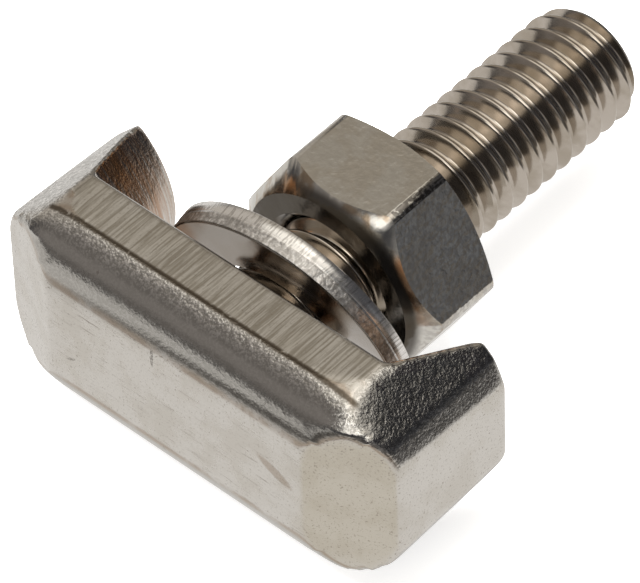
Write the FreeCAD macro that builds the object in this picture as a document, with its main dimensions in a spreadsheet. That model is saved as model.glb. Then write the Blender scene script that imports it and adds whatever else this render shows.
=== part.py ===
"""Battery terminal T-bolt: a forged bar head with two wedge-nosed ears and an M6 stud,
a loose flat washer and a hex nut. It lies on its side.

Frame: X runs along the head, Y along the stud towards its tip, Z is up.
The origin is the centre of the head's back face. Lengths are in millimetres.
"""
import FreeCAD, Part
import math
import os

import Sketcher

DOC = FreeCAD.newDocument("TBolt")
SHEET = DOC.addObject("Spreadsheet::Sheet", "Sizes")

SIZES = (
    # head, a forged bar whose stud side has an ear at each end
    ("head_length", 22.7),
    ("head_width", 10.9),
    ("head_thickness", 4.4),
    ("ear_height", 4.4),
    ("end_width_back", 7.4),
    ("end_width_tip", 5.6),
    ("corner_run", 2.8),
    ("back_facet_run", 3.95),
    ("back_facet_rise", 1.8),
    ("back_round", 2.0),
    # each ear's nose is part of a cone whose axis lies beyond the head's end, and whose
    # root circle goes through the corners where the flanks end
    ("nose_overhang", 1.65),
    ("nose_shrink", 1.9),
    ("ear_root_round", 0.5),
    ("ear_tip_round", 0.5),
    # stud
    ("stud_diameter", 5.94),
    ("stud_length", 23.3),
    ("stud_lead", 0.9),
    ("stud_lead_depth", 0.65),
    ("stud_root_round", 0.4),
    # washer, which hangs askew on the stud
    ("washer_diameter", 12.5),
    ("washer_play", 0.45),
    ("washer_thickness", 1.25),
    ("washer_edge_chamfer", 0.15),
    ("washer_standoff", 2.9),
    ("washer_shift", 0.1),
    ("washer_lift", 0.18),
    ("washer_tilt", 12.0),
    ("washer_heading", 19.0),
    # nut
    ("nut_across_flats", 10.0),
    ("nut_thickness", 4.8),
    ("nut_play", 0.05),
    ("nut_standoff", 5.45),
    ("nut_corner_round", 0.45),
    ("nut_bearing_chamfer", 1.25),
    ("nut_outer_chamfer", 0.8),
    ("nut_countersink", 0.45),
)

for row, (alias, value) in enumerate(SIZES, start=1):
    SHEET.set(f"A{row}", alias)
    SHEET.set(f"B{row}", str(value))
    SHEET.setAlias(f"B{row}", alias)
DOC.recompute()


def size(formula):
    """The number that a formula over the sheet gives."""
    return float(SHEET.evalExpression(formula))


def plane(body, role):
    """One of the body's own origin planes."""
    return next(f for f in body.Origin.OriginFeatures if f.Role == role)


def sketch_on(body, role, name, offset=None):
    """A sketch on an origin plane, moved along that plane's normal by a formula."""
    sketch = body.newObject("Sketcher::SketchObject", name)
    sketch.AttachmentSupport = (plane(body, role), "")
    sketch.MapMode = "FlatFace"
    if offset:
        sketch.setExpression("AttachmentOffset.Base.z", offset)
    return sketch


def bind(sketch, kind, places, formula, name):
    """A dimension whose value follows a formula over the sheet."""
    index = sketch.addConstraint(Sketcher.Constraint(kind, *places, size(formula)))
    sketch.renameConstraint(index, name)
    sketch.setExpression(f"Constraints.{name}", formula)


def outline(sketch, corners, tag):
    """A closed outline of straight lines. Each corner is a pair of formulas."""
    spots = [FreeCAD.Vector(size(across), size(along), 0) for across, along in corners]
    first = len(sketch.Geometry)
    count = len(spots)
    for i in range(count):
        sketch.addGeometry(Part.LineSegment(spots[i], spots[(i + 1) % count]))
    for i in range(count):
        following = first + (i + 1) % count
        sketch.addConstraint(Sketcher.Constraint("Coincident", first + i, 2, following, 1))
    for i, (across, along) in enumerate(corners):
        bind(sketch, "DistanceX", (-1, 1, first + i, 1), across, f"{tag}_across_{i}")
        bind(sketch, "DistanceY", (-1, 1, first + i, 1), along, f"{tag}_along_{i}")


def circle(sketch, formula, tag):
    """A circle about the sketch's origin whose radius follows a formula."""
    middle = FreeCAD.Vector(0, 0, 0)
    index = sketch.addGeometry(Part.Circle(middle, FreeCAD.Vector(0, 0, 1), size(formula)))
    sketch.addConstraint(Sketcher.Constraint("Coincident", index, 3, -1, 1))
    bind(sketch, "Radius", (index,), formula, tag)


def edges_where(shape, test):
    """Names of the edges whose middle point and direction pass the test."""
    names = []
    for i, edge in enumerate(shape.Edges, start=1):
        low, high = edge.ParameterRange
        middle = edge.valueAt((low + high) / 2)
        if test(edge, middle):
            names.append(f"Edge{i}")
    return names


def head_plan(body, name, level, end_width):
    """The head seen along the stud: a bar with its four corners cut off."""
    sketch = sketch_on(body, "XZ_Plane", name, level)
    end, side = "Sizes.head_length / 2", "Sizes.head_width / 2"
    shoulder = "(Sizes.head_length / 2 - Sizes.corner_run)"
    half_end = f"{end_width} / 2"
    outline(sketch, [
        (shoulder, side), (f"-{shoulder}", side),
        (f"-{end}", half_end), (f"-{end}", f"-{half_end}"),
        (f"-{shoulder}", f"-{side}"), (shoulder, f"-{side}"),
        (end, f"-{half_end}"), (end, half_end),
    ], "plan")
    return sketch


def make_head_blank():
    """The forged bar before its stud side is cut between the ears."""
    body = DOC.addObject("PartDesign::Body", "HeadBlank")
    back = head_plan(body, "BackPlan", "0", "Sizes.end_width_back")
    top = "-(Sizes.head_thickness + Sizes.ear_height)"
    tip = head_plan(body, "TipPlan", top, "Sizes.end_width_tip")
    loft = body.newObject("PartDesign::AdditiveLoft", "Forging")
    loft.Profile = back
    loft.Sections = [tip]
    loft.Ruled = True
    DOC.recompute()

    facets = sketch_on(body, "XY_Plane", "FacetCut")
    for tag, sign in (("near", ""), ("far", "-")):
        run = f"{sign}(Sizes.head_length / 2 - Sizes.back_facet_run)"
        beyond = f"{sign}(Sizes.head_length / 2 + Sizes.back_facet_run)"
        outline(facets, [
            (run, "0"), (beyond, "0"), (beyond, "2 * Sizes.back_facet_rise"),
        ], tag)
    cut = body.newObject("PartDesign::Pocket", "BackFacets")
    cut.Profile = facets
    cut.Type = "Length"
    cut.Midplane = True
    cut.setExpression("Length", "2 * Sizes.head_width")
    DOC.recompute()

    side = size("Sizes.head_width / 2")
    seat = size("Sizes.head_thickness")
    low = edges_where(cut.Shape, lambda edge, middle: (
        abs(abs(middle.z) - side) < 0.01
        and middle.y < seat * 0.3
        and abs(edge.tangentAt(edge.FirstParameter).x) > 0.5))
    fillet = body.newObject("PartDesign::Fillet", "BackRounds")
    fillet.Base = (cut, low)
    fillet.setExpression("Radius", "Sizes.back_round")
    DOC.recompute()
    body.Tip = fillet
    DOC.recompute()
    return body


def make_nose(name, sign):
    """The cone that an ear's nose is part of. It stands on the seat and narrows upwards."""
    cone = DOC.addObject("Part::Cone", name)
    # the cone starts below the seat and ends above the ears, at the same slope
    slope = "(Sizes.nose_shrink / Sizes.ear_height)"
    margin = "Sizes.ear_height"
    reach = "(Sizes.nose_overhang + Sizes.corner_run)"
    root = f"sqrt({reach} * {reach} + Sizes.head_width * Sizes.head_width / 4)"
    cone.setExpression("Radius1", f"{root} + {slope} * {margin}")
    cone.setExpression("Radius2", f"{root} - {slope} * 2 * {margin}")
    cone.setExpression("Height", f"3 * {margin}")
    cone.Placement.Rotation = FreeCAD.Rotation(FreeCAD.Vector(1, 0, 0), -90)
    away = "(Sizes.head_length / 2 + Sizes.nose_overhang)"
    cone.setExpression("Placement.Base.x", f"{sign}{away}")
    cone.setExpression("Placement.Base.y", f"Sizes.head_thickness - {margin}")
    return cone


def make_head():
    """The head: the blank less the space between the ears, with its edges rounded."""
    blank = make_head_blank()
    space = DOC.addObject("Part::Box", "EarSpace")
    space.setExpression("Length", "2 * Sizes.head_length")
    space.setExpression("Width", "2 * Sizes.ear_height")
    space.setExpression("Height", "2 * Sizes.head_width")
    space.setExpression("Placement.Base.x", "-Sizes.head_length")
    space.setExpression("Placement.Base.y", "Sizes.head_thickness")
    space.setExpression("Placement.Base.z", "-Sizes.head_width")
    noses = DOC.addObject("Part::MultiFuse", "Noses")
    noses.Shapes = [make_nose("NoseRight", ""), make_nose("NoseLeft", "-")]
    jaw = DOC.addObject("Part::Cut", "Jaw")
    jaw.Base = space
    jaw.Tool = noses
    head = DOC.addObject("Part::Cut", "HeadCut")
    head.Base = blank
    head.Tool = jaw
    DOC.recompute()
    return head


def make_stud():
    """The stud, turned about the Y axis, with a lead chamfer at its tip."""
    body = DOC.addObject("PartDesign::Body", "Stud")
    sketch = sketch_on(body, "XY_Plane", "StudHalf")
    radius = "Sizes.stud_diameter / 2"
    tip = "(Sizes.head_thickness + Sizes.stud_length)"
    root = "Sizes.head_thickness / 2"
    outline(sketch, [
        ("0", root), (radius, root), (radius, f"{tip} - Sizes.stud_lead"),
        (f"{radius} - Sizes.stud_lead_depth", tip), ("0", tip),
    ], "half")
    turned = body.newObject("PartDesign::Revolution", "Turned")
    turned.Profile = sketch
    turned.ReferenceAxis = (sketch, ["V_Axis"])
    turned.Angle = 360
    DOC.recompute()
    return body


def round_edges(base, names, formula, label):
    """Rounds the named edges of a shape with one radius from the sheet."""
    rounded = DOC.addObject("Part::Fillet", label)
    rounded.Base = base
    radius = size(formula)
    rounded.Edges = [(int(name[4:]), radius, radius) for name in names]
    DOC.recompute()
    return rounded


def make_t_bolt():
    """Head and stud in one piece."""
    head = make_head()
    joined = DOC.addObject("Part::MultiFuse", "Forged")
    joined.Shapes = [head, make_stud()]
    joined.Refine = True
    DOC.recompute()

    seat = size("Sizes.head_thickness")
    top = size("Sizes.head_thickness + Sizes.ear_height")
    stud = size("Sizes.stud_diameter / 2")
    end = size("Sizes.head_length / 2")

    def is_stud_root(edge, middle):
        return abs(middle.y - seat) < 0.01 and math.hypot(middle.x, middle.z) < stud + 0.01

    def is_ear_root(edge, middle):
        curved = edge.Curve.TypeId == "Part::GeomCircle"
        return curved and abs(middle.y - seat) < 0.01 and abs(middle.x) > stud + 0.5

    def is_ear_tip(edge, middle):
        return abs(middle.y - top) < 0.01

    def is_end_corner(edge, middle):
        upright = abs(edge.tangentAt(edge.FirstParameter).y) > 0.9
        return upright and abs(abs(middle.x) - end) < 0.01

    shape = joined.Shape
    print("stud root", edges_where(shape, is_stud_root))
    print("ear root", edges_where(shape, is_ear_root))
    print("ear tip", edges_where(shape, is_ear_tip))
    print("end corner", edges_where(shape, is_end_corner))
    base = joined
    for label, test, formula in (
        ("EndCorners", is_end_corner, "Sizes.ear_tip_round"),
        ("EarTips", is_ear_tip, "Sizes.ear_tip_round"),
        ("EarRoots", is_ear_root, "Sizes.ear_root_round"),
        ("StudRoot", is_stud_root, "Sizes.stud_root_round"),
    ):
        base = round_edges(base, edges_where(base.Shape, test), formula, label)
        print(label, base.State, base.Shape.isValid(), base.Shape.Volume)
    base.Label = "t_bolt"
    return base


def make_washer():
    """A stamped ring that hangs loose and askew between the head and the nut."""
    body = DOC.addObject("PartDesign::Body", "Washer")
    sketch = sketch_on(body, "XZ_Plane", "Ring")
    circle(sketch, "Sizes.washer_diameter / 2", "outer")
    circle(sketch, "Sizes.stud_diameter / 2 + Sizes.washer_play", "bore")
    pad = body.newObject("PartDesign::Pad", "Stamped")
    pad.Profile = sketch
    pad.Midplane = True
    pad.setExpression("Length", "Sizes.washer_thickness")
    DOC.recompute()
    rim = size("Sizes.washer_diameter / 2")
    outer = edges_where(pad.Shape, lambda edge, middle: (
        math.hypot(middle.x, middle.z) > rim - 0.01))
    outer = [name for name in outer if pad.Shape.getElement(name).Curve.TypeId == "Part::GeomCircle"]
    edge = body.newObject("PartDesign::Chamfer", "StampedEdge")
    edge.Base = (pad, outer)
    edge.setExpression("Size", "Sizes.washer_edge_chamfer")
    DOC.recompute()
    body.Tip = edge
    heading = math.radians(size("Sizes.washer_heading"))
    lean = FreeCAD.Vector(math.cos(heading), 0, math.sin(heading))
    body.Placement.Rotation = FreeCAD.Rotation(lean, size("Sizes.washer_tilt"))
    body.setExpression("Placement.Base.x", "Sizes.washer_shift")
    body.setExpression("Placement.Base.y", "Sizes.head_thickness + Sizes.washer_standoff")
    body.setExpression("Placement.Base.z", "Sizes.washer_lift")
    body.Label = "flat_washer"
    return body


def make_nut():
    """A hex nut with a deep round chamfer on its bearing side."""
    body = DOC.addObject("PartDesign::Body", "Nut")
    sketch = sketch_on(body, "XZ_Plane", "Hexagon")
    half = "Sizes.nut_across_flats / 2"
    corner = "(Sizes.nut_across_flats / sqrt(3))"
    outline(sketch, [
        (f"{corner} / 2", half), (f"-{corner} / 2", half), (f"-{corner}", "0"),
        (f"-{corner} / 2", f"-{half}"), (f"{corner} / 2", f"-{half}"), (corner, "0"),
    ], "hex")
    pad = body.newObject("PartDesign::Pad", "Prism")
    pad.Profile = sketch
    pad.Reversed = True
    pad.setExpression("Length", "Sizes.nut_thickness")
    DOC.recompute()
    corners = edges_where(pad.Shape, lambda edge, middle: (
        abs(edge.tangentAt(edge.FirstParameter).y) > 0.9))
    fillet = body.newObject("PartDesign::Fillet", "CornerRounds")
    fillet.Base = (pad, corners)
    fillet.setExpression("Radius", "Sizes.nut_corner_round")
    DOC.recompute()

    bore = sketch_on(body, "XY_Plane", "BoreHalf")
    radius = "(Sizes.stud_diameter / 2 + Sizes.nut_play)"
    sink = "Sizes.nut_countersink"
    deep = "Sizes.nut_thickness"
    outline(bore, [
        ("0", f"-{sink}"), (f"{radius} + 2 * {sink}", f"-{sink}"), (radius, sink),
        (radius, f"{deep} - {sink}"), (f"{radius} + 2 * {sink}", f"{deep} + {sink}"),
        ("0", f"{deep} + {sink}"),
    ], "bore")
    groove = body.newObject("PartDesign::Groove", "Bore")
    groove.Profile = bore
    groove.ReferenceAxis = (bore, ["V_Axis"])
    groove.Angle = 360
    DOC.recompute()

    rim = sketch_on(body, "XY_Plane", "ChamferHalf")
    reach = "Sizes.nut_across_flats"
    for tag, face, away, cut in (
        ("bearing", "0", "-", "Sizes.nut_bearing_chamfer"),
        ("outer", deep, "", "Sizes.nut_outer_chamfer"),
    ):
        inward = "" if away == "-" else "-"
        outline(rim, [
            (f"{corner} - {cut}", face),
            (f"{corner} - {cut} + {reach}", face if away == "" else "0"),
            (f"{corner} - {cut} + {reach}", f"{face} + {inward}1 * {reach}"),
        ], tag)
    chamfers = body.newObject("PartDesign::Groove", "RoundChamfers")
    chamfers.Profile = rim
    chamfers.ReferenceAxis = (rim, ["V_Axis"])
    chamfers.Angle = 360
    DOC.recompute()
    body.Tip = chamfers
    body.setExpression("Placement.Base.y", "Sizes.head_thickness + Sizes.nut_standoff")
    body.Label = "hex_nut"
    return body


def finish(nodes):
    """Checks every object and writes one STEP file for each piece."""
    DOC.recompute()
    for item in DOC.Objects:
        if "Invalid" in item.State or "Error" in item.State:
            raise RuntimeError(f"{item.Name} did not compute: {item.State}")
    os.makedirs("parts", exist_ok=True)
    for node in nodes:
        if node.Shape.isNull() or not node.Shape.isValid():
            raise RuntimeError(f"{node.Label} has no valid shape")
        node.Shape.exportStep(f"parts/{node.Label}.step")
        print(node.Label, round(node.Shape.Volume, 2), node.Shape.BoundBox)


finish([make_t_bolt(), make_washer(), make_nut()])
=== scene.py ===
import math

import bpy
from mathutils import Matrix, Vector


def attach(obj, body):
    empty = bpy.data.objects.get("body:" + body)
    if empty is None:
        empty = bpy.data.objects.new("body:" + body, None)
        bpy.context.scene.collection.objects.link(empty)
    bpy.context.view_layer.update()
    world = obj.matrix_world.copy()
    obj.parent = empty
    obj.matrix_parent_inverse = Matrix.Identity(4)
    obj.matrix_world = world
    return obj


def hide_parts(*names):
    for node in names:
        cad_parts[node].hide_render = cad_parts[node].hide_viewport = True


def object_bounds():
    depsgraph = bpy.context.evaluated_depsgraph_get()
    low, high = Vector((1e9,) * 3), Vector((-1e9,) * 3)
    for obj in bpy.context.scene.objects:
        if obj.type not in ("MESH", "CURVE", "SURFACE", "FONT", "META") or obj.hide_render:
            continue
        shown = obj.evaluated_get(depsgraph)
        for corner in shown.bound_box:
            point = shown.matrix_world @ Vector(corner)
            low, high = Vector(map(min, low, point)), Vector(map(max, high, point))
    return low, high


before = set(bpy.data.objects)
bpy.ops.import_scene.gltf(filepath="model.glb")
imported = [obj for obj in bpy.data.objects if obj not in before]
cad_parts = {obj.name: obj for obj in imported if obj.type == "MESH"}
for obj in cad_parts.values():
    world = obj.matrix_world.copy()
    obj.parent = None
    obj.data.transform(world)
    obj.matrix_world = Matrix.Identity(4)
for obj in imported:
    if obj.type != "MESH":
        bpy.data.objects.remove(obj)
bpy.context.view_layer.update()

# The pieces' sizes are in millimetres. Y runs along the stud, from 0 at the head's back face,
# and X along the head.
MM = 0.001
CLOSE = 0.01
SEAT = 4.4
TIP = 27.7
PITCH = 1.0


def millimetres(*values):
    return tuple(value * MM for value in values)


def active(name):
    """Names the object that was just added, and its mesh."""
    made = bpy.context.object
    made.name = name
    made.data.name = name
    return made


def focus(obj):
    bpy.ops.object.select_all(action="DESELECT")
    obj.select_set(True)
    bpy.context.view_layer.objects.active = obj


def edit(obj, kind="VERT"):
    focus(obj)
    bpy.ops.object.mode_set(mode="EDIT")
    bpy.ops.mesh.select_mode(type=kind)
    bpy.ops.mesh.select_all(action="DESELECT")


def leave():
    bpy.ops.object.mode_set(mode="OBJECT")


def choose(obj, test, kind="VERT"):
    """Selects the vertices or edges whose ends, in millimetres, pass the test."""
    edit(obj, kind)
    leave()
    mesh = obj.data
    spots = [vertex.co / MM for vertex in mesh.vertices]
    if kind == "VERT":
        for vertex, spot in zip(mesh.vertices, spots):
            vertex.select = bool(test(spot))
    else:
        for edge in mesh.edges:
            edge.select = bool(test(*[spots[i] for i in edge.vertices]))
    bpy.ops.object.mode_set(mode="EDIT")


def apply(obj, kind, **settings):
    """Adds one modifier and applies it."""
    focus(obj)
    modifier = obj.modifiers.new(kind.title(), kind)
    for key, value in settings.items():
        setattr(modifier, key, value)
    bpy.ops.object.modifier_apply(modifier=modifier.name)


def carve(obj, tool, operation, solver="EXACT"):
    """Cuts, or keeps, what the tool covers. The tool is used up."""
    apply(obj, "BOOLEAN", operation=operation, object=tool, solver=solver)
    bpy.data.objects.remove(tool, do_unlink=True)


def clean(obj, gap=0.002):
    """Merges doubles and turns every face outward."""
    edit(obj)
    bpy.ops.mesh.select_all(action="SELECT")
    bpy.ops.mesh.remove_doubles(threshold=gap * MM)
    bpy.ops.mesh.dissolve_degenerate(threshold=0.001 * MM)
    bpy.ops.mesh.select_all(action="SELECT")
    bpy.ops.mesh.normals_make_consistent(inside=False)
    leave()


def settle(obj):
    """Puts the turn, place and scale of an object into its mesh."""
    focus(obj)
    bpy.ops.object.transform_apply(location=True, rotation=True, scale=True)


def smooth(obj, angle, flats=True):
    """Smooth shading up to an angle. The flats keep their own direction up to their edges."""
    focus(obj)
    bpy.ops.object.shade_smooth_by_angle(angle=math.radians(angle))
    if flats:
        apply(obj, "WEIGHTED_NORMAL", mode="FACE_AREA", weight=60, keep_sharp=True)


def slice_by(obj, spot, outward, keep_all=False):
    """Cuts a solid by a plane through the spot, and drops and closes the outward side unless
    all is kept."""
    edit(obj, "EDGE")
    bpy.ops.mesh.select_all(action="SELECT")
    bpy.ops.mesh.bisect(plane_co=millimetres(*spot), plane_no=outward,
                        use_fill=not keep_all, clear_outer=not keep_all)
    leave()


def block(name, size, place):
    """A plain block, by its size and the place of its middle."""
    bpy.ops.mesh.primitive_cube_add(size=1, location=millimetres(*place))
    made = active(name)
    made.scale = millimetres(*size)
    settle(made)
    return made


def lathe_tool(name, rings, sides=128):
    """A closed solid about the Y axis through rings of (y, radius), made by extruding and
    resizing one disc."""
    y, radius = rings[0]
    bpy.ops.mesh.primitive_circle_add(
        vertices=sides, radius=radius * MM, fill_type="NGON",
        rotation=(-math.pi / 2, 0, 0), location=millimetres(0, y, 0))
    tool = active(name)
    settle(tool)
    edit(tool, "FACE")
    bpy.ops.mesh.select_all(action="SELECT")
    for next_y, next_radius in rings[1:]:
        bpy.ops.mesh.extrude_region_move(
            TRANSFORM_OT_translate={"value": millimetres(0, next_y - y, 0)})
        factor = next_radius / radius
        bpy.ops.transform.resize(value=(factor, 1, factor),
                                 center_override=millimetres(0, next_y, 0))
        y, radius = next_y, next_radius
    leave()
    clean(tool)
    return tool


# The forged head: a bar with an ear at each end of its stud side.
HALF_LENGTH = 11.35
HALF_WIDTH = 5.45
TOP = 8.8
SHOULDER = 8.55
# half widths of an end at the back and at the ear's tip, and how deep its corner is cut
FULL_CORNER = (3.55, 3.3, 0.35)
DEEP_CORNER = (3.2, 2.45, 0.19)
# directions of those cuts, in degrees from the head's length, and how much they lean
END_HEADING = 25
SHOULDER_HEADING = 67
SHOULDER_CUT = 0.19
CUT_DRAFT = 0.022
FACET_RUN = 3.95
FACET_RISE = 1.8
BACK_ROUND = 3.4
MILLED_FROM = 1.9
# each ear's nose is part of a cone whose axis is outside the head
NOSE_AXIS = 13.0
NOSE_SLOPE = 1.9 / 4.4
VOXEL = 0.13


def draw_in_ends(head):
    """The four corners are cut off by moving the end faces' corners in, more at the ears' tips.
    Two of them, on one diagonal, go deeper, as by dies that are slightly out of line."""
    for x in (-SHOULDER, SHOULDER):
        slice_by(head, (x, 0, 0), (1, 0, 0), keep_all=True)
    for deeper, (back, tip, _) in ((False, FULL_CORNER), (True, DEEP_CORNER)):
        for level, half in ((0, back), (TOP, tip)):
            choose(head, lambda p: abs(abs(p.x) - HALF_LENGTH) < CLOSE
                   and abs(p.y - level) < CLOSE and (p.x * p.z < 0) == deeper)
            bpy.ops.transform.resize(value=(1, 1, half / HALF_WIDTH), center_override=(0, 0, 0))
            leave()


def cut_corner_edges(head):
    """The edges of each end's corners are cut once more, deepest at the ears' tips."""
    for side in (1, -1):
        for upper in (1, -1):
            _, tip, cut = DEEP_CORNER if side * upper < 0 else FULL_CORNER
            for x, z, heading, depth in (
                (HALF_LENGTH, tip, END_HEADING, cut),
                (SHOULDER, HALF_WIDTH, SHOULDER_HEADING, SHOULDER_CUT),
            ):
                turn = math.radians(heading)
                outward = Vector((side * math.cos(turn), CUT_DRAFT, upper * math.sin(turn)))
                outward.normalize()
                corner = Vector((side * x, TOP, upper * z))
                slice_by(head, corner - outward * depth, outward)
    clean(head)
    # one row of edges where the ears begin
    slice_by(head, (0, SEAT, 0), (0, 1, 0), keep_all=True)


def cut_facets(head):
    """A flat facet leads from the back face to each end."""
    for side in (1, -1):
        outward = Vector((side * FACET_RISE, -FACET_RUN, 0)).normalized()
        slice_by(head, (side * (HALF_LENGTH - FACET_RUN), 0, 0), outward)
    clean(head)


def forged_envelope():
    """A block with rounded back edges. It is wider than the milled flanks, which so cut its
    rounding short."""
    lean = math.acos(1 - MILLED_FROM / BACK_ROUND)
    half = HALF_WIDTH + BACK_ROUND * (1 - math.sin(lean))
    envelope = block("envelope", (40, 30, 2 * half), (0, 15, 0))
    choose(envelope, lambda a, b: max(a.y, b.y) < CLOSE and abs((a - b).x) > 1, "EDGE")
    bpy.ops.mesh.bevel(offset=BACK_ROUND * MM, offset_type="OFFSET", segments=18, profile=0.5,
                       affect="EDGES")
    leave()
    return envelope


def ear_gap():
    """The space between the ears. Each ear's nose is left out of it, as part of a cone."""
    gap = block("ear_gap", (40, 10, 20), (0, SEAT + 5, 0))
    reach = math.hypot(SHOULDER - NOSE_AXIS, HALF_WIDTH)
    for side in (1, -1):
        nose = lathe_tool(
            "nose", [(y, reach - NOSE_SLOPE * (y - SEAT)) for y in (-2.0, 18.0)], 160)
        nose.location.x = side * NOSE_AXIS * MM
        settle(nose)
        carve(gap, nose, "DIFFERENCE")
    return gap


def around(p, place, radius):
    """Whether a vertex is near one of four places that mirror each other."""
    x, y, z = place
    return math.hypot(abs(p.x) - x, p.y - y, abs(p.z) - z) < radius


def soften(obj, name, rounds, test):
    """Smooths the vertices that pass the test, a place in millimetres."""
    group = obj.vertex_groups.new(name=name)
    chosen = [vertex.index for vertex in obj.data.vertices if test(vertex.co / MM)]
    group.add(chosen, 1.0, "REPLACE")
    apply(obj, "SMOOTH", factor=0.5, iterations=rounds, vertex_group=name)
    obj.vertex_groups.clear()


def round_head(head):
    """The forging gets an even mesh, and its edges are softened, each place by its own rounds."""
    apply(head, "REMESH", mode="VOXEL", voxel_size=VOXEL * MM, adaptivity=0.0)
    apply(head, "SMOOTH", factor=0.5, iterations=2)
    for name, rounds, test in (
        ("creases", 16, lambda p: abs(p.x) > 6.4 and p.y < 2.6),
        ("corners", 90, lambda p: around(p, (8.4, 1.5, 4.6), 1.7)),
        ("shoulders", 110, lambda p: around(p, (8.8, 1.8, 5.2), 1.25)),
        ("ends", 20, lambda p: abs(p.x) > 10.3),
        ("tips", 20, lambda p: p.y > 7.9),
    ):
        soften(head, name, rounds, test)
    clean(head, gap=0.003)


def make_head():
    head = block("bolt_head", (2 * HALF_LENGTH, TOP, 2 * HALF_WIDTH), (0, TOP / 2, 0))
    draw_in_ends(head)
    cut_corner_edges(head)
    cut_facets(head)
    carve(head, forged_envelope(), "INTERSECT")
    clean(head)
    carve(head, ear_gap(), "DIFFERENCE")
    clean(head, gap=0.004)
    round_head(head)
    smooth(head, 180, flats=False)
    return head


# The stud, whose thread runs from inside the head to the lead at its tip.
CREST = 2.965
ROOT = 2.40
THREAD_FROM = -3.27
THREAD_TURNS = 34
THREAD_STEPS = 64
# from crest to root: the share of the pitch, and the height
HALF_THREAD = ((0.0, 1.0), (0.05, 0.99), (0.09, 0.93), (0.13, 0.83), (0.35, 0.17), (0.40, 0.06),
               (0.45, 0.01))
LEAD = ((3.0, 3.2), (TIP - 1.05, 3.2), (TIP - 0.80, 2.96), (TIP - 0.45, 2.76),
        (TIP - 0.12, 2.48), (TIP, 2.25))


def wind_thread(name):
    """A right-hand thread about the Y axis: one pitch of its profile, wound by a screw."""
    far_half = [(1 - share, height) for share, height in reversed(HALF_THREAD)]
    waves = list(HALF_THREAD) + [(0.5, 0.0)] + far_half
    profile = [(share * PITCH, ROOT + (CREST - ROOT) * height) for share, height in waves]
    bpy.ops.mesh.primitive_plane_add(size=MM)
    solid = active(name)
    edit(solid)
    bpy.ops.mesh.select_all(action="SELECT")
    bpy.ops.mesh.merge(type="CENTER")
    y, radius = profile[0]
    bpy.ops.transform.translate(value=millimetres(radius, THREAD_FROM + y, 0))
    for next_y, next_radius in profile[1:]:
        bpy.ops.mesh.extrude_region_move(
            TRANSFORM_OT_translate={"value": millimetres(next_radius - radius, next_y - y, 0)})
        y, radius = next_y, next_radius
    leave()
    apply(solid, "SCREW", axis="Y", screw_offset=PITCH * MM, iterations=THREAD_TURNS,
          steps=THREAD_STEPS, render_steps=THREAD_STEPS, use_merge_vertices=True,
          merge_threshold=0.002 * MM, use_normal_calculate=True)
    clean(solid)
    return solid


def close_ends(solid):
    """Each open end of the wound thread is drawn together to one point."""
    for near in (True, False):
        edit(solid, "EDGE")
        bpy.ops.mesh.select_non_manifold(
            extend=False, use_wire=False, use_boundary=True, use_multi_face=False,
            use_non_contiguous=False, use_verts=False)
        leave()
        mesh = solid.data
        middle = sum(vertex.co.y for vertex in mesh.vertices) / len(mesh.vertices)
        for vertex in mesh.vertices:
            vertex.select = False
        for edge in mesh.edges:
            ends = [mesh.vertices[i] for i in edge.vertices]
            edge.select = edge.select and (ends[0].co.y < middle) == near
            if edge.select:
                for vertex in ends:
                    vertex.select = True
        bpy.ops.object.mode_set(mode="EDIT")
        bpy.ops.mesh.extrude_region_move()
        bpy.ops.mesh.merge(type="COLLAPSE")
        leave()
    clean(solid)


def make_stud():
    stud = wind_thread("bolt_stud")
    close_ends(stud)
    carve(stud, lathe_tool("lead", LEAD), "INTERSECT", "MANIFOLD")
    clean(stud)
    smooth(stud, 75)
    return stud


# The washer, which leans on the stud.
WASHER_HEADING = math.radians(19)
WASHER_TILT = math.radians(12)
WASHER_LEAN = Vector((math.cos(WASHER_HEADING), 0, math.sin(WASHER_HEADING)))
WASHER_TURN = Matrix.Rotation(WASHER_TILT, 3, WASHER_LEAN)
WASHER_AXIS = WASHER_TURN @ Vector((0, 1, 0))
WASHER_CENTRE = Vector((0.1, SEAT + 2.9, 0.18))
# the torn half of the rim, then the cut half, which stands out a little
WASHER_RIM = ((-0.625, 6.09), (-0.61, 6.15), (-0.57, 6.19), (-0.52, 6.21), (-0.02, 6.215),
              (0.0, 6.23), (0.55, 6.23), (0.60, 6.19), (0.625, 6.09))
WASHER_BORE = ((-1, 3.6), (-0.55, 3.45), (0.5, 3.42), (0.9, 3.6))


def make_washer():
    ring = lathe_tool("washer_ring", WASHER_RIM, 160)
    carve(ring, lathe_tool("bore", WASHER_BORE, 96), "DIFFERENCE")
    ring.rotation_mode = "QUATERNION"
    ring.rotation_quaternion = WASHER_TURN.to_quaternion()
    ring.location = WASHER_CENTRE * MM
    settle(ring)
    clean(ring)
    smooth(ring, 40)
    return ring


# The nut, with its bearing side towards the washer.
NUT_THICKNESS = 4.8
NUT_NEAR = SEAT + 5.45
NUT_FAR = NUT_NEAR + NUT_THICKNESS
NUT_CORNER = 10 / math.sqrt(3)
NEAR_RADIUS = NUT_CORNER - 1.25
FAR_RADIUS = NUT_CORNER - 0.8
NUT_CHAMFERS = ((NUT_NEAR, NEAR_RADIUS), (NUT_NEAR + 1.7, NEAR_RADIUS + 1.7),
                (NUT_FAR - 0.6, FAR_RADIUS + 1.3), (NUT_FAR, FAR_RADIUS))
NUT_BORE = ((NUT_NEAR - 0.4, 3.9), (NUT_NEAR + 0.45, 3.05), (NUT_FAR - 0.45, 3.05),
            (NUT_FAR + 0.4, 3.9))


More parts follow.
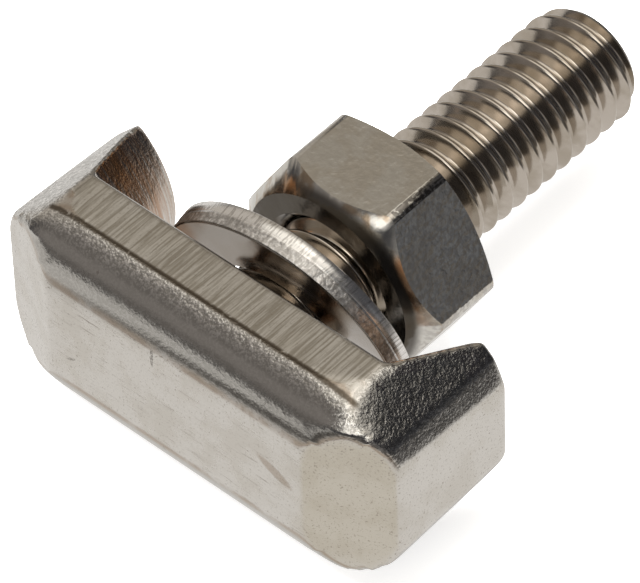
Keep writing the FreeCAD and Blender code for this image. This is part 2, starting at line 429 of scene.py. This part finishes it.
def make_nut():
    bpy.ops.mesh.primitive_cylinder_add(
        vertices=6, radius=NUT_CORNER * MM, depth=NUT_THICKNESS * MM,
        rotation=(math.pi / 2, 0, 0), location=millimetres(0, (NUT_NEAR + NUT_FAR) / 2, 0))
    nut = active("nut_body")
    settle(nut)
    # a flat, not a corner, comes to the top
    nut.rotation_euler = (0, math.pi / 6, 0)
    settle(nut)
    choose(nut, lambda a, b: abs((a - b).y) > 4, "EDGE")
    bpy.ops.mesh.bevel(offset=0.34 * MM, offset_type="OFFSET", segments=5, profile=0.5,
                       affect="EDGES")
    leave()
    carve(nut, lathe_tool("chamfers", NUT_CHAMFERS, 192), "INTERSECT")
    carve(nut, lathe_tool("bore", NUT_BORE, 96), "DIFFERENCE")
    clean(nut)
    apply(nut, "BEVEL", limit_method="ANGLE", angle_limit=math.radians(22), width=0.09 * MM,
          segments=3, miter_outer="MITER_ARC", use_clamp_overlap=True)
    clean(nut)
    smooth(nut, 30)
    return nut


class Value:
    """A number socket. Arithmetic on it adds Math nodes."""

    def __init__(self, web, socket):
        self.web = web
        self.socket = socket

    def math(self, operation, *others):
        node = self.web.node("ShaderNodeMath", {"operation": operation},
                             dict(enumerate((self,) + others)))
        return Value(self.web, node.outputs[0])

    def __add__(self, other):
        return self.math("ADD", other)

    def __sub__(self, other):
        return self.math("SUBTRACT", other)

    def __mul__(self, other):
        return self.math("MULTIPLY", other)

    def __truediv__(self, other):
        return self.math("DIVIDE", other)

    def __radd__(self, other):
        return self.math("ADD", other)

    def __rmul__(self, other):
        return self.math("MULTIPLY", other)

    def __rsub__(self, other):
        return self.web.number(other).math("SUBTRACT", self)

    def size(self):
        """The number without its sign."""
        return self.math("ABSOLUTE")

    def step(self, none, full):
        """0 at the first number and 1 at the second, with a soft step between."""
        node = self.web.node("ShaderNodeMapRange", {"interpolation_type": "SMOOTHSTEP"},
                             {"Value": self, "From Min": none, "From Max": full})
        return Value(self.web, node.outputs[0])


class Web:
    """The nodes of one material or world."""

    def __init__(self, owner):
        owner.use_nodes = True
        self.tree = owner.node_tree
        self.tree.nodes.clear()

    def node(self, kind, settings=None, values=None):
        made = self.tree.nodes.new(kind)
        for key, value in (settings or {}).items():
            setattr(made, key, value)
        for key, value in (values or {}).items():
            if isinstance(value, Value):
                self.tree.links.new(value.socket, made.inputs[key])
            elif isinstance(value, bpy.types.NodeSocket):
                self.tree.links.new(value, made.inputs[key])
            else:
                made.inputs[key].default_value = value
        return made

    def number(self, value):
        made = self.node("ShaderNodeValue")
        made.outputs[0].default_value = value
        return Value(self, made.outputs[0])

    def noise(self, vector, scale, detail=2.0, roughness=0.5):
        made = self.node("ShaderNodeTexNoise", values={
            "Vector": vector, "Scale": scale, "Detail": detail, "Roughness": roughness})
        return Value(self, made.outputs[0])

    def streaks(self, vector, scale, detail, roughness, turn=(0, 0, 0)):
        """Noise that is drawn out: the smaller its scale along an axis, the longer."""
        drawn = self.node("ShaderNodeMapping", values={
            "Vector": vector, "Scale": scale, "Rotation": turn})
        return self.noise(drawn.outputs[0], 1.0, detail, roughness)

    def dot(self, first, second):
        made = self.node("ShaderNodeVectorMath", {"operation": "DOT_PRODUCT"}, {
            0: first, 1: second})
        return Value(self, made.outputs["Value"])

    def parts(self, vector):
        made = self.node("ShaderNodeSeparateXYZ", values={0: vector})
        return [Value(self, made.outputs[i]) for i in range(3)]

    def mix(self, factor, first, second):
        made = self.node("ShaderNodeMix", {"data_type": "RGBA"}, {
            0: factor, 6: first, 7: second})
        return made.outputs[2]

    def finish(self, kind, shader):
        out = self.node(kind)
        self.tree.links.new(shader.outputs[0], out.inputs[0])


def colour(red, green, blue):
    return (red, green, blue, 1.0)


def plated(name, work):
    """Nickel plate. The work function gives its tint, its roughness and its height in microns,
    from the place in millimetres and the direction of the surface, both on the piece."""
    material = bpy.data.materials.new(name)
    web = Web(material)
    inside = web.node("ShaderNodeTexCoord").outputs
    spot = web.node("ShaderNodeVectorMath", {"operation": "SCALE"}, {
        0: inside["Object"], 3: 1 / MM})
    tint, roughness, height = work(web, spot.outputs[0], inside["Normal"])
    bump = web.node("ShaderNodeBump", values={
        "Height": height, "Distance": 0.000001, "Strength": 1.0})
    web.finish("ShaderNodeOutputMaterial", web.node("ShaderNodeBsdfPrincipled", values={
        "Base Color": tint, "Metallic": 1.0, "Roughness": roughness,
        "Normal": bump.outputs[0]}))
    return material


# marks on the back face, each by its place (x, z), its reach, its turn and its strength
BACK_MARKS = (
    ((-1.17, 2.5), (0.12, 0.7), 0.0, 0.8),
    ((-0.83, -3.55), (0.13, 0.55), 0.0, 1.0),
    ((1.05, -3.5), (0.5, 0.12), 0.0, 1.0),
    ((-6.1, -1.2), (0.35, 0.1), 0.5, 0.7),
)


def blotch(x, z, place, reach, turn):
    """1 inside an ellipse on the back face, with a soft edge."""
    side, up = math.cos(turn), math.sin(turn)
    dx, dz = x - place[0], z - place[1]
    along = (dx * side + dz * up) / reach[0]
    across = (dz * side - dx * up) / reach[1]
    return 1 - (along * along + across * across).step(0.3, 1.0)


def bolt_work(web, spot, normal):
    x, y, z = web.parts(spot)
    nx, ny, nz = web.parts(normal)
    grain = web.noise(spot, 8.5, 3.0, 0.6)
    lumps = web.noise(spot, 3.6, 2.0, 0.5)
    cloud = web.noise(spot, 0.45, 4.0, 0.6)
    wave = web.noise(spot, 0.22, 1.0)
    skin = web.noise(spot, 1.1, 3.0, 0.6)

    # where each kind of surface is, and the forging's skin, which is calm near the back face
    back = (0 - ny).step(0.95, 0.995)
    flank = nz.size().step(0.97, 0.995)
    rounding = (ny * nz.size() * -2.0).step(0.15, 0.7)
    corner = (nx.size() * nz.size() * 2.0).step(0.4, 0.8)
    nose = (x * nx * -1.0).step(1.0, 3.0) * y.step(SEAT, SEAT + 0.4)
    skinned = rounding.math("MAXIMUM", corner)
    along_round = rounding.step(0.0, 0.25) * (1 - corner)
    calm = along_round * (1 - y.step(0.8, 1.7))
    brim = along_round * (1 - rounding.step(0.35, 0.9))
    coarse = skinned * (1 - calm * 0.8)

    # the milled lines, what wear and handling left, and a painted shade line at the milled edge
    lines = web.streaks(spot, (8.0, 0.30, 0.5), 4.0, 0.7)
    nose_lines = web.streaks(spot, (0.5, 6.0, 0.3), 3.0, 0.6)
    pits = web.noise(spot, 3.6, 2.0).step(0.70, 0.78) * (1 - flank)
    nicks = web.streaks(spot, (0.35, 1.0, 6.0), 3.0, 0.7, (0, 0.25, 0)).step(0.60, 0.72) * back
    ragged = grain.step(0.35, 0.6)
    marks = web.number(0.0)
    for place, reach, turn, strength in BACK_MARKS:
        marks = marks.math("MAXIMUM", blotch(x, z, place, reach, turn) * strength)
    marks = marks * ragged * back
    dent = blotch(x, z, (5.8, 0.3), (1.25, 0.36), -0.42) * back
    specks = web.noise(spot, 9.0, 2.0, 0.7).step(0.56, 0.72) * (1 - skinned)
    hairs = web.streaks(spot, (0.5, 1.0, 11.0), 2.0, 0.6, (0, -0.5, 0)).step(0.60, 0.70)
    hairs = hairs * back * cloud.step(0.35, 0.55)
    # painted shade: a dark line, broken by the lumps, along the crease where the milled flank
    # meets the rounding
    crease_shade = (y - MILLED_FROM - lumps * 0.1).size().step(0.20, 0.06)
    crease_shade = crease_shade * z.size().step(5.0, 5.15) * lumps.step(0.22, 0.40)

    height = (wave * 12.0 + skin * coarse * 30.0 + lumps * (6.0 * (1 - flank) + coarse * 26.0)
              + grain * (2.4 + coarse * 24.0)
              + lines * flank * 3.0 + nose_lines * nose * 14.0 - pits * 4.0 - nicks * 3.0
              - marks * 14.0 - dent * (16.0 + ragged * 6.0) - specks * 3.0 - hairs * 2.5)
    roughness = 0.22 + (cloud - 0.5) * 0.14 + flank * 0.12 + back * 0.05 - skinned * 0.06

    # painted highlight: a lighter band along the rounding, where a reflection falls
    painted_sheen_band = (y - 0.75 - wave * 0.2).size().step(0.26, 0.06) * rounding * (1 - corner)
    # painted glints: light specks that stand in for light caught by the grain
    painted_glints = (lumps * 0.3 + grain * 0.7).step(0.42, 0.62) * (1 - calm * 0.8)
    # the skin's own dark tone, with the painted highlight band and glints laid on it
    skin_and_painted_light = web.mix(painted_sheen_band * 0.6, colour(0.40, 0.385, 0.36), colour(0.62, 0.60, 0.57))
    skin_and_painted_light = web.mix(painted_glints, skin_and_painted_light, colour(0.80, 0.78, 0.75))
    # painted shade: the corners that face +X are darker
    skin_and_painted_light = web.mix(corner * nx.step(0.25, 0.5) * 0.5, skin_and_painted_light, colour(0.17, 0.165, 0.16))
    tint = web.mix(cloud.step(0.42, 0.62), colour(0.67, 0.645, 0.61), colour(0.62, 0.59, 0.545))
    for factor, coat in (
        (skinned, skin_and_painted_light),
        (brim * cloud.step(0.3, 0.55) * 0.7, colour(0.37, 0.29, 0.22)),
        (flank * (lines.step(0.40, 0.60) * 0.75 + 0.22), colour(0.34, 0.31, 0.265)),
        (pits * 0.5 + nicks * 0.6 + specks * 0.65 + hairs * 0.3, colour(0.26, 0.225, 0.19)),
        (dent * 0.55, colour(0.33, 0.25, 0.18)),
        # the marks are dark scratches; the crease line is painted shade
        ((marks * 0.85).math("MAXIMUM", crease_shade * 0.92), colour(0.10, 0.08, 0.06)),
        (nose * nose_lines.step(0.25, 0.6) * (0.95 - y.step(6.0, 8.6) * 0.6),
         colour(0.42, 0.21, 0.09)),
    ):
        tint = web.mix(factor, tint, coat)
    return tint, roughness, height


def nut_work(web, spot, normal):
    x, _, z = web.parts(spot)
    nx, ny, _ = web.parts(normal)
    peel = web.noise(spot, 2.4, 2.0, 0.5)
    grain = web.noise(spot, 9.0, 3.0, 0.6)
    cloud = web.noise(spot, 0.55, 3.0, 0.6)
    fine = web.noise(spot, 4.5, 1.0, 0.5)

    bearing = (ny * -1.0).step(0.85, 0.95)
    cone = (ny * -1.0).step(0.4, 0.6) * (1 - bearing)
    side = nx.step(0.6, 0.8)
    # painted shade on the bevels that lean towards +X
    edge = nx.step(0.06, 0.16) * (1 - nx.step(0.74, 0.84)) * (1 - ny.size().step(0.15, 0.3))
    # painted shade on the inner part of the bearing-side chamfer, except where it faces -X
    inner_cone_shade = cone * (1 - (x * x + z * z).step(22.5, 26.0)) * nx.step(-0.35, -0.1)
    # painted shade: the bearing face is made nearly black, the leaning bevels and the inner
    # chamfer darker
    painted_shade = (bearing * 0.92).math("MAXIMUM", edge * (0.9 - fine.step(0.5, 0.6) * 0.6))
    painted_shade = painted_shade.math("MAXIMUM", inner_cone_shade * 0.92)

    height = ((peel * 14.0 + fine * 4.0) * (1 - cone * 0.8) * (1 + side * 1.4) + grain * 1.2
              + web.noise(spot, 0.5, 1.0) * 10.0)
    roughness = 0.17 + (cloud - 0.5) * 0.1
    tint = web.mix(cloud.step(0.45, 0.6), colour(0.66, 0.64, 0.60), colour(0.60, 0.565, 0.51))
    for factor, coat in (
        (fine.step(0.38, 0.60) * (0.12 + side * 0.35), colour(0.38, 0.36, 0.345)),
        (cone * cloud.step(0.5, 0.6) * 0.7, colour(0.40, 0.28, 0.17)),
        (painted_shade, colour(0.10, 0.09, 0.08)),
    ):
        tint = web.mix(factor, tint, coat)
    return tint, roughness, height


def stud_work(web, spot, normal):
    grain = web.noise(spot, 6.0, 3.0, 0.6)
    cloud = web.noise(spot, 0.5, 3.0, 0.6)
    height = grain * 1.6 + web.noise(spot, 1.2, 1.0) * 5.0
    roughness = 0.16 + (cloud - 0.5) * 0.10
    tint = web.mix(cloud.step(0.4, 0.65), colour(0.53, 0.48, 0.425), colour(0.42, 0.37, 0.31))
    return tint, roughness, height


def washer_work(web, spot, normal):
    grain = web.noise(spot, 5.0, 3.0, 0.6)
    cloud = web.noise(spot, 0.6, 2.0)
    scratch = web.streaks(spot, (7.0, 0.4, 7.0), 3.0, 0.6)

    facing = web.dot(normal, WASHER_AXIS)
    rim = 1 - facing.size().step(0.4, 0.8)
    # painted shade: the face turned towards the head is darker
    head_face_shade = (facing * -1.0).step(0.4, 0.8)
    along = web.dot(spot, WASHER_AXIS) - WASHER_CENTRE.dot(WASHER_AXIS)
    torn = rim * (1 - along.step(-0.08, 0.03))

    height = (grain * (0.7 + torn * 30.0) + scratch * (0.6 + rim * 7.0)
              + web.noise(spot, 3.0, 2.0) * torn * 40.0)
    roughness = 0.14 + (cloud - 0.5) * 0.1 + rim * 0.12 + torn * 0.12
    tint = web.mix(cloud.step(0.45, 0.6), colour(0.68, 0.66, 0.63), colour(0.60, 0.56, 0.50))
    for factor, coat in (
        # painted highlight: the rim is made light
        (rim, colour(0.84, 0.82, 0.80)),
        (head_face_shade * 0.75, colour(0.36, 0.33, 0.31)),
        (rim * scratch.step(0.5, 0.62) * 0.6, colour(0.36, 0.34, 0.315)),
        (torn * grain.step(0.3, 0.6) * 0.7, colour(0.33, 0.31, 0.29)),
    ):
        tint = web.mix(factor, tint, coat)
    return tint, roughness, height


def make_pieces():
    """Every piece gets its plate, the body that it rides on and the node that it replaces."""
    for piece, material, work, body, node, slot in (
        (make_head(), "bolt_plate", bolt_work, "bolt", "t_bolt", "bolt_plating"),
        (make_stud(), "stud_plate", stud_work, "bolt", "t_bolt", "bolt_plating"),
        (make_washer(), "washer_plate", washer_work, "washer", "flat_washer", "washer_plating"),
        (make_nut(), "nut_plate", nut_work, "nut", "hex_nut", "nut_plating"),
    ):
        piece.data.materials.clear()
        piece.data.materials.append(plated(material, work))
        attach(piece, body)
        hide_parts(node)


# the floor as the plate mirrors it, in metres: light near the part with beige in front of it,
# and dark far off
FLOOR_GAP = 0.00002
CARD_CENTRE = (0.0062, 0.010)
CARD_REACH = 0.022
BEIGE_CENTRE = (0.0105, -0.006)
BEIGE_REACH = 0.0065
CARD_LIGHT = colour(0.82, 0.80, 0.77)
CARD_BEIGE = colour(0.74, 0.70, 0.62)
CARD_DARK = colour(0.13, 0.12, 0.11)


def make_floor():
    """A white floor that keeps the part's shadow. The plate mirrors the card in its place."""
    low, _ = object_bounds()
    bpy.ops.mesh.primitive_plane_add(size=3.0, location=(0, 0, low.z - FLOOR_GAP))
    floor = active("floor")
    material = bpy.data.materials.new("floor_white")
    web = Web(material)
    x, y, _ = web.parts(web.node("ShaderNodeTexCoord").outputs["Object"])

    def spread(centre, reach):
        """The squared distance from a centre, in shares of the reach."""
        across, along = (x - centre[0]) / reach, (y - centre[1]) / reach
        return across * across + along * along

    # towards the left end the card stays light
    far = spread(CARD_CENTRE, CARD_REACH).step(1.1, 2.4) * x.step(-0.020, -0.012)
    near = web.mix(spread(BEIGE_CENTRE, BEIGE_REACH).step(0.4, 1.3), CARD_BEIGE, CARD_LIGHT)
    card = web.node("ShaderNodeEmission", values={
        "Color": web.mix(far, near, CARD_DARK), "Strength": 1.0})
    diffuse = web.node("ShaderNodeBsdfDiffuse", values={"Color": colour(0.8, 0.8, 0.8)})
    glow = web.node("ShaderNodeEmission", values={"Color": colour(1, 1, 1), "Strength": 0.72})
    white = web.node("ShaderNodeAddShader", values={0: diffuse.outputs[0], 1: glow.outputs[0]})
    glossy = web.node("ShaderNodeLightPath").outputs["Is Glossy Ray"]
    web.finish("ShaderNodeOutputMaterial", web.node("ShaderNodeMixShader", values={
        0: glossy, 1: white.outputs[0], 2: card.outputs[0]}))
    floor.data.materials.append(material)


SKY = colour(0.05, 0.05, 0.055)
# soft patches of light: direction, half width and soft edge in degrees, colour
LIGHTS = (
    ((-0.47, 0.48, 0.75), 30, 34, (0.37, 0.335, 0.285)),
    ((-0.47, -0.74, 0.48), 24, 20, (0.26, 0.24, 0.225)),
    ((-0.47, -0.34, 0.81), 12, 14, (0.50, 0.46, 0.42)),
    ((0.14, -0.775, 0.60), 11, 4, (1.9, 1.85, 1.75)),
    ((0.30, -0.48, 0.82), 12, 5, (3.2, 3.1, 2.9)),
    ((0.0, 0.08, 0.99), 32, 9, (1.15, 1.10, 1.0)),
    ((0.12, 0.30, 0.94), 9, 5, (2.0, 1.9, 1.75)),
    ((-0.87, 0.1, 0.45), 27, 20, (0.50, 0.46, 0.41)),
    ((0.85, -0.5, 0.2), 20, 24, (0.30, 0.29, 0.28)),
    ((0.9, 0.42, 0.1), 9, 16, (0.16, 0.165, 0.175)),
)


def light_world():
    """A studio drawn on the sky. The camera itself sees white."""
    world = bpy.data.worlds.new("studio")
    bpy.context.scene.world = world
    web = Web(world)
    way = web.node("ShaderNodeTexCoord").outputs["Generated"]
    shade = SKY
    for direction, wide, soft, light in LIGHTS:
        inner = math.cos(math.radians(wide - soft / 2))
        outer = math.cos(math.radians(wide + soft / 2))
        lit = web.dot(way, Vector(direction).normalized()).step(outer, inner)
        shade = web.mix(lit, shade, colour(*light))
    seen = web.node("ShaderNodeLightPath").outputs["Is Camera Ray"]
    shade = web.mix(seen, shade, colour(1, 1, 1))
    web.finish("ShaderNodeOutputWorld", web.node("ShaderNodeBackground", values={
        "Color": shade, "Strength": 1.0}))


def add_lamp():
    """A wide lamp overhead, for the floor's soft shadow. The plate doesn't mirror it."""
    bpy.ops.object.light_add(type="AREA", location=millimetres(-60, -40, 300))
    lamp = bpy.context.object
    lamp.name = "overhead"
    lamp.data.shape = "DISK"
    lamp.data.size = 0.25
    lamp.data.energy = 3.0
    lamp.visible_glossy = False
    lamp.rotation_euler = Vector(lamp.location).to_track_quat("Z", "Y").to_euler()


def add_camera():
    """The photograph's camera, fitted to the thread, the nut and the head's edges."""
    data = bpy.data.cameras.new("camera")
    camera = bpy.data.objects.new("camera", data)
    bpy.context.scene.collection.objects.link(camera)
    right = Vector((0.7449, 0.6666, -0.0263))
    up = Vector((-0.4807, 0.5637, 0.6718))
    forward = Vector((-0.4626, 0.4878, -0.7403))
    turn = Matrix((right, up, -forward)).transposed().to_4x4()
    camera.matrix_world = Matrix.Translation(millimetres(146.65, -145.27, 234.34)) @ turn
    data.sensor_width = 36
    data.lens = 410.6
    data.clip_start = 0.01
    data.clip_end = 20
    bpy.context.scene.camera = camera


make_pieces()
make_floor()
light_world()
add_lamp()
add_camera()
bpy.context.scene.view_settings.view_transform = "Standard"
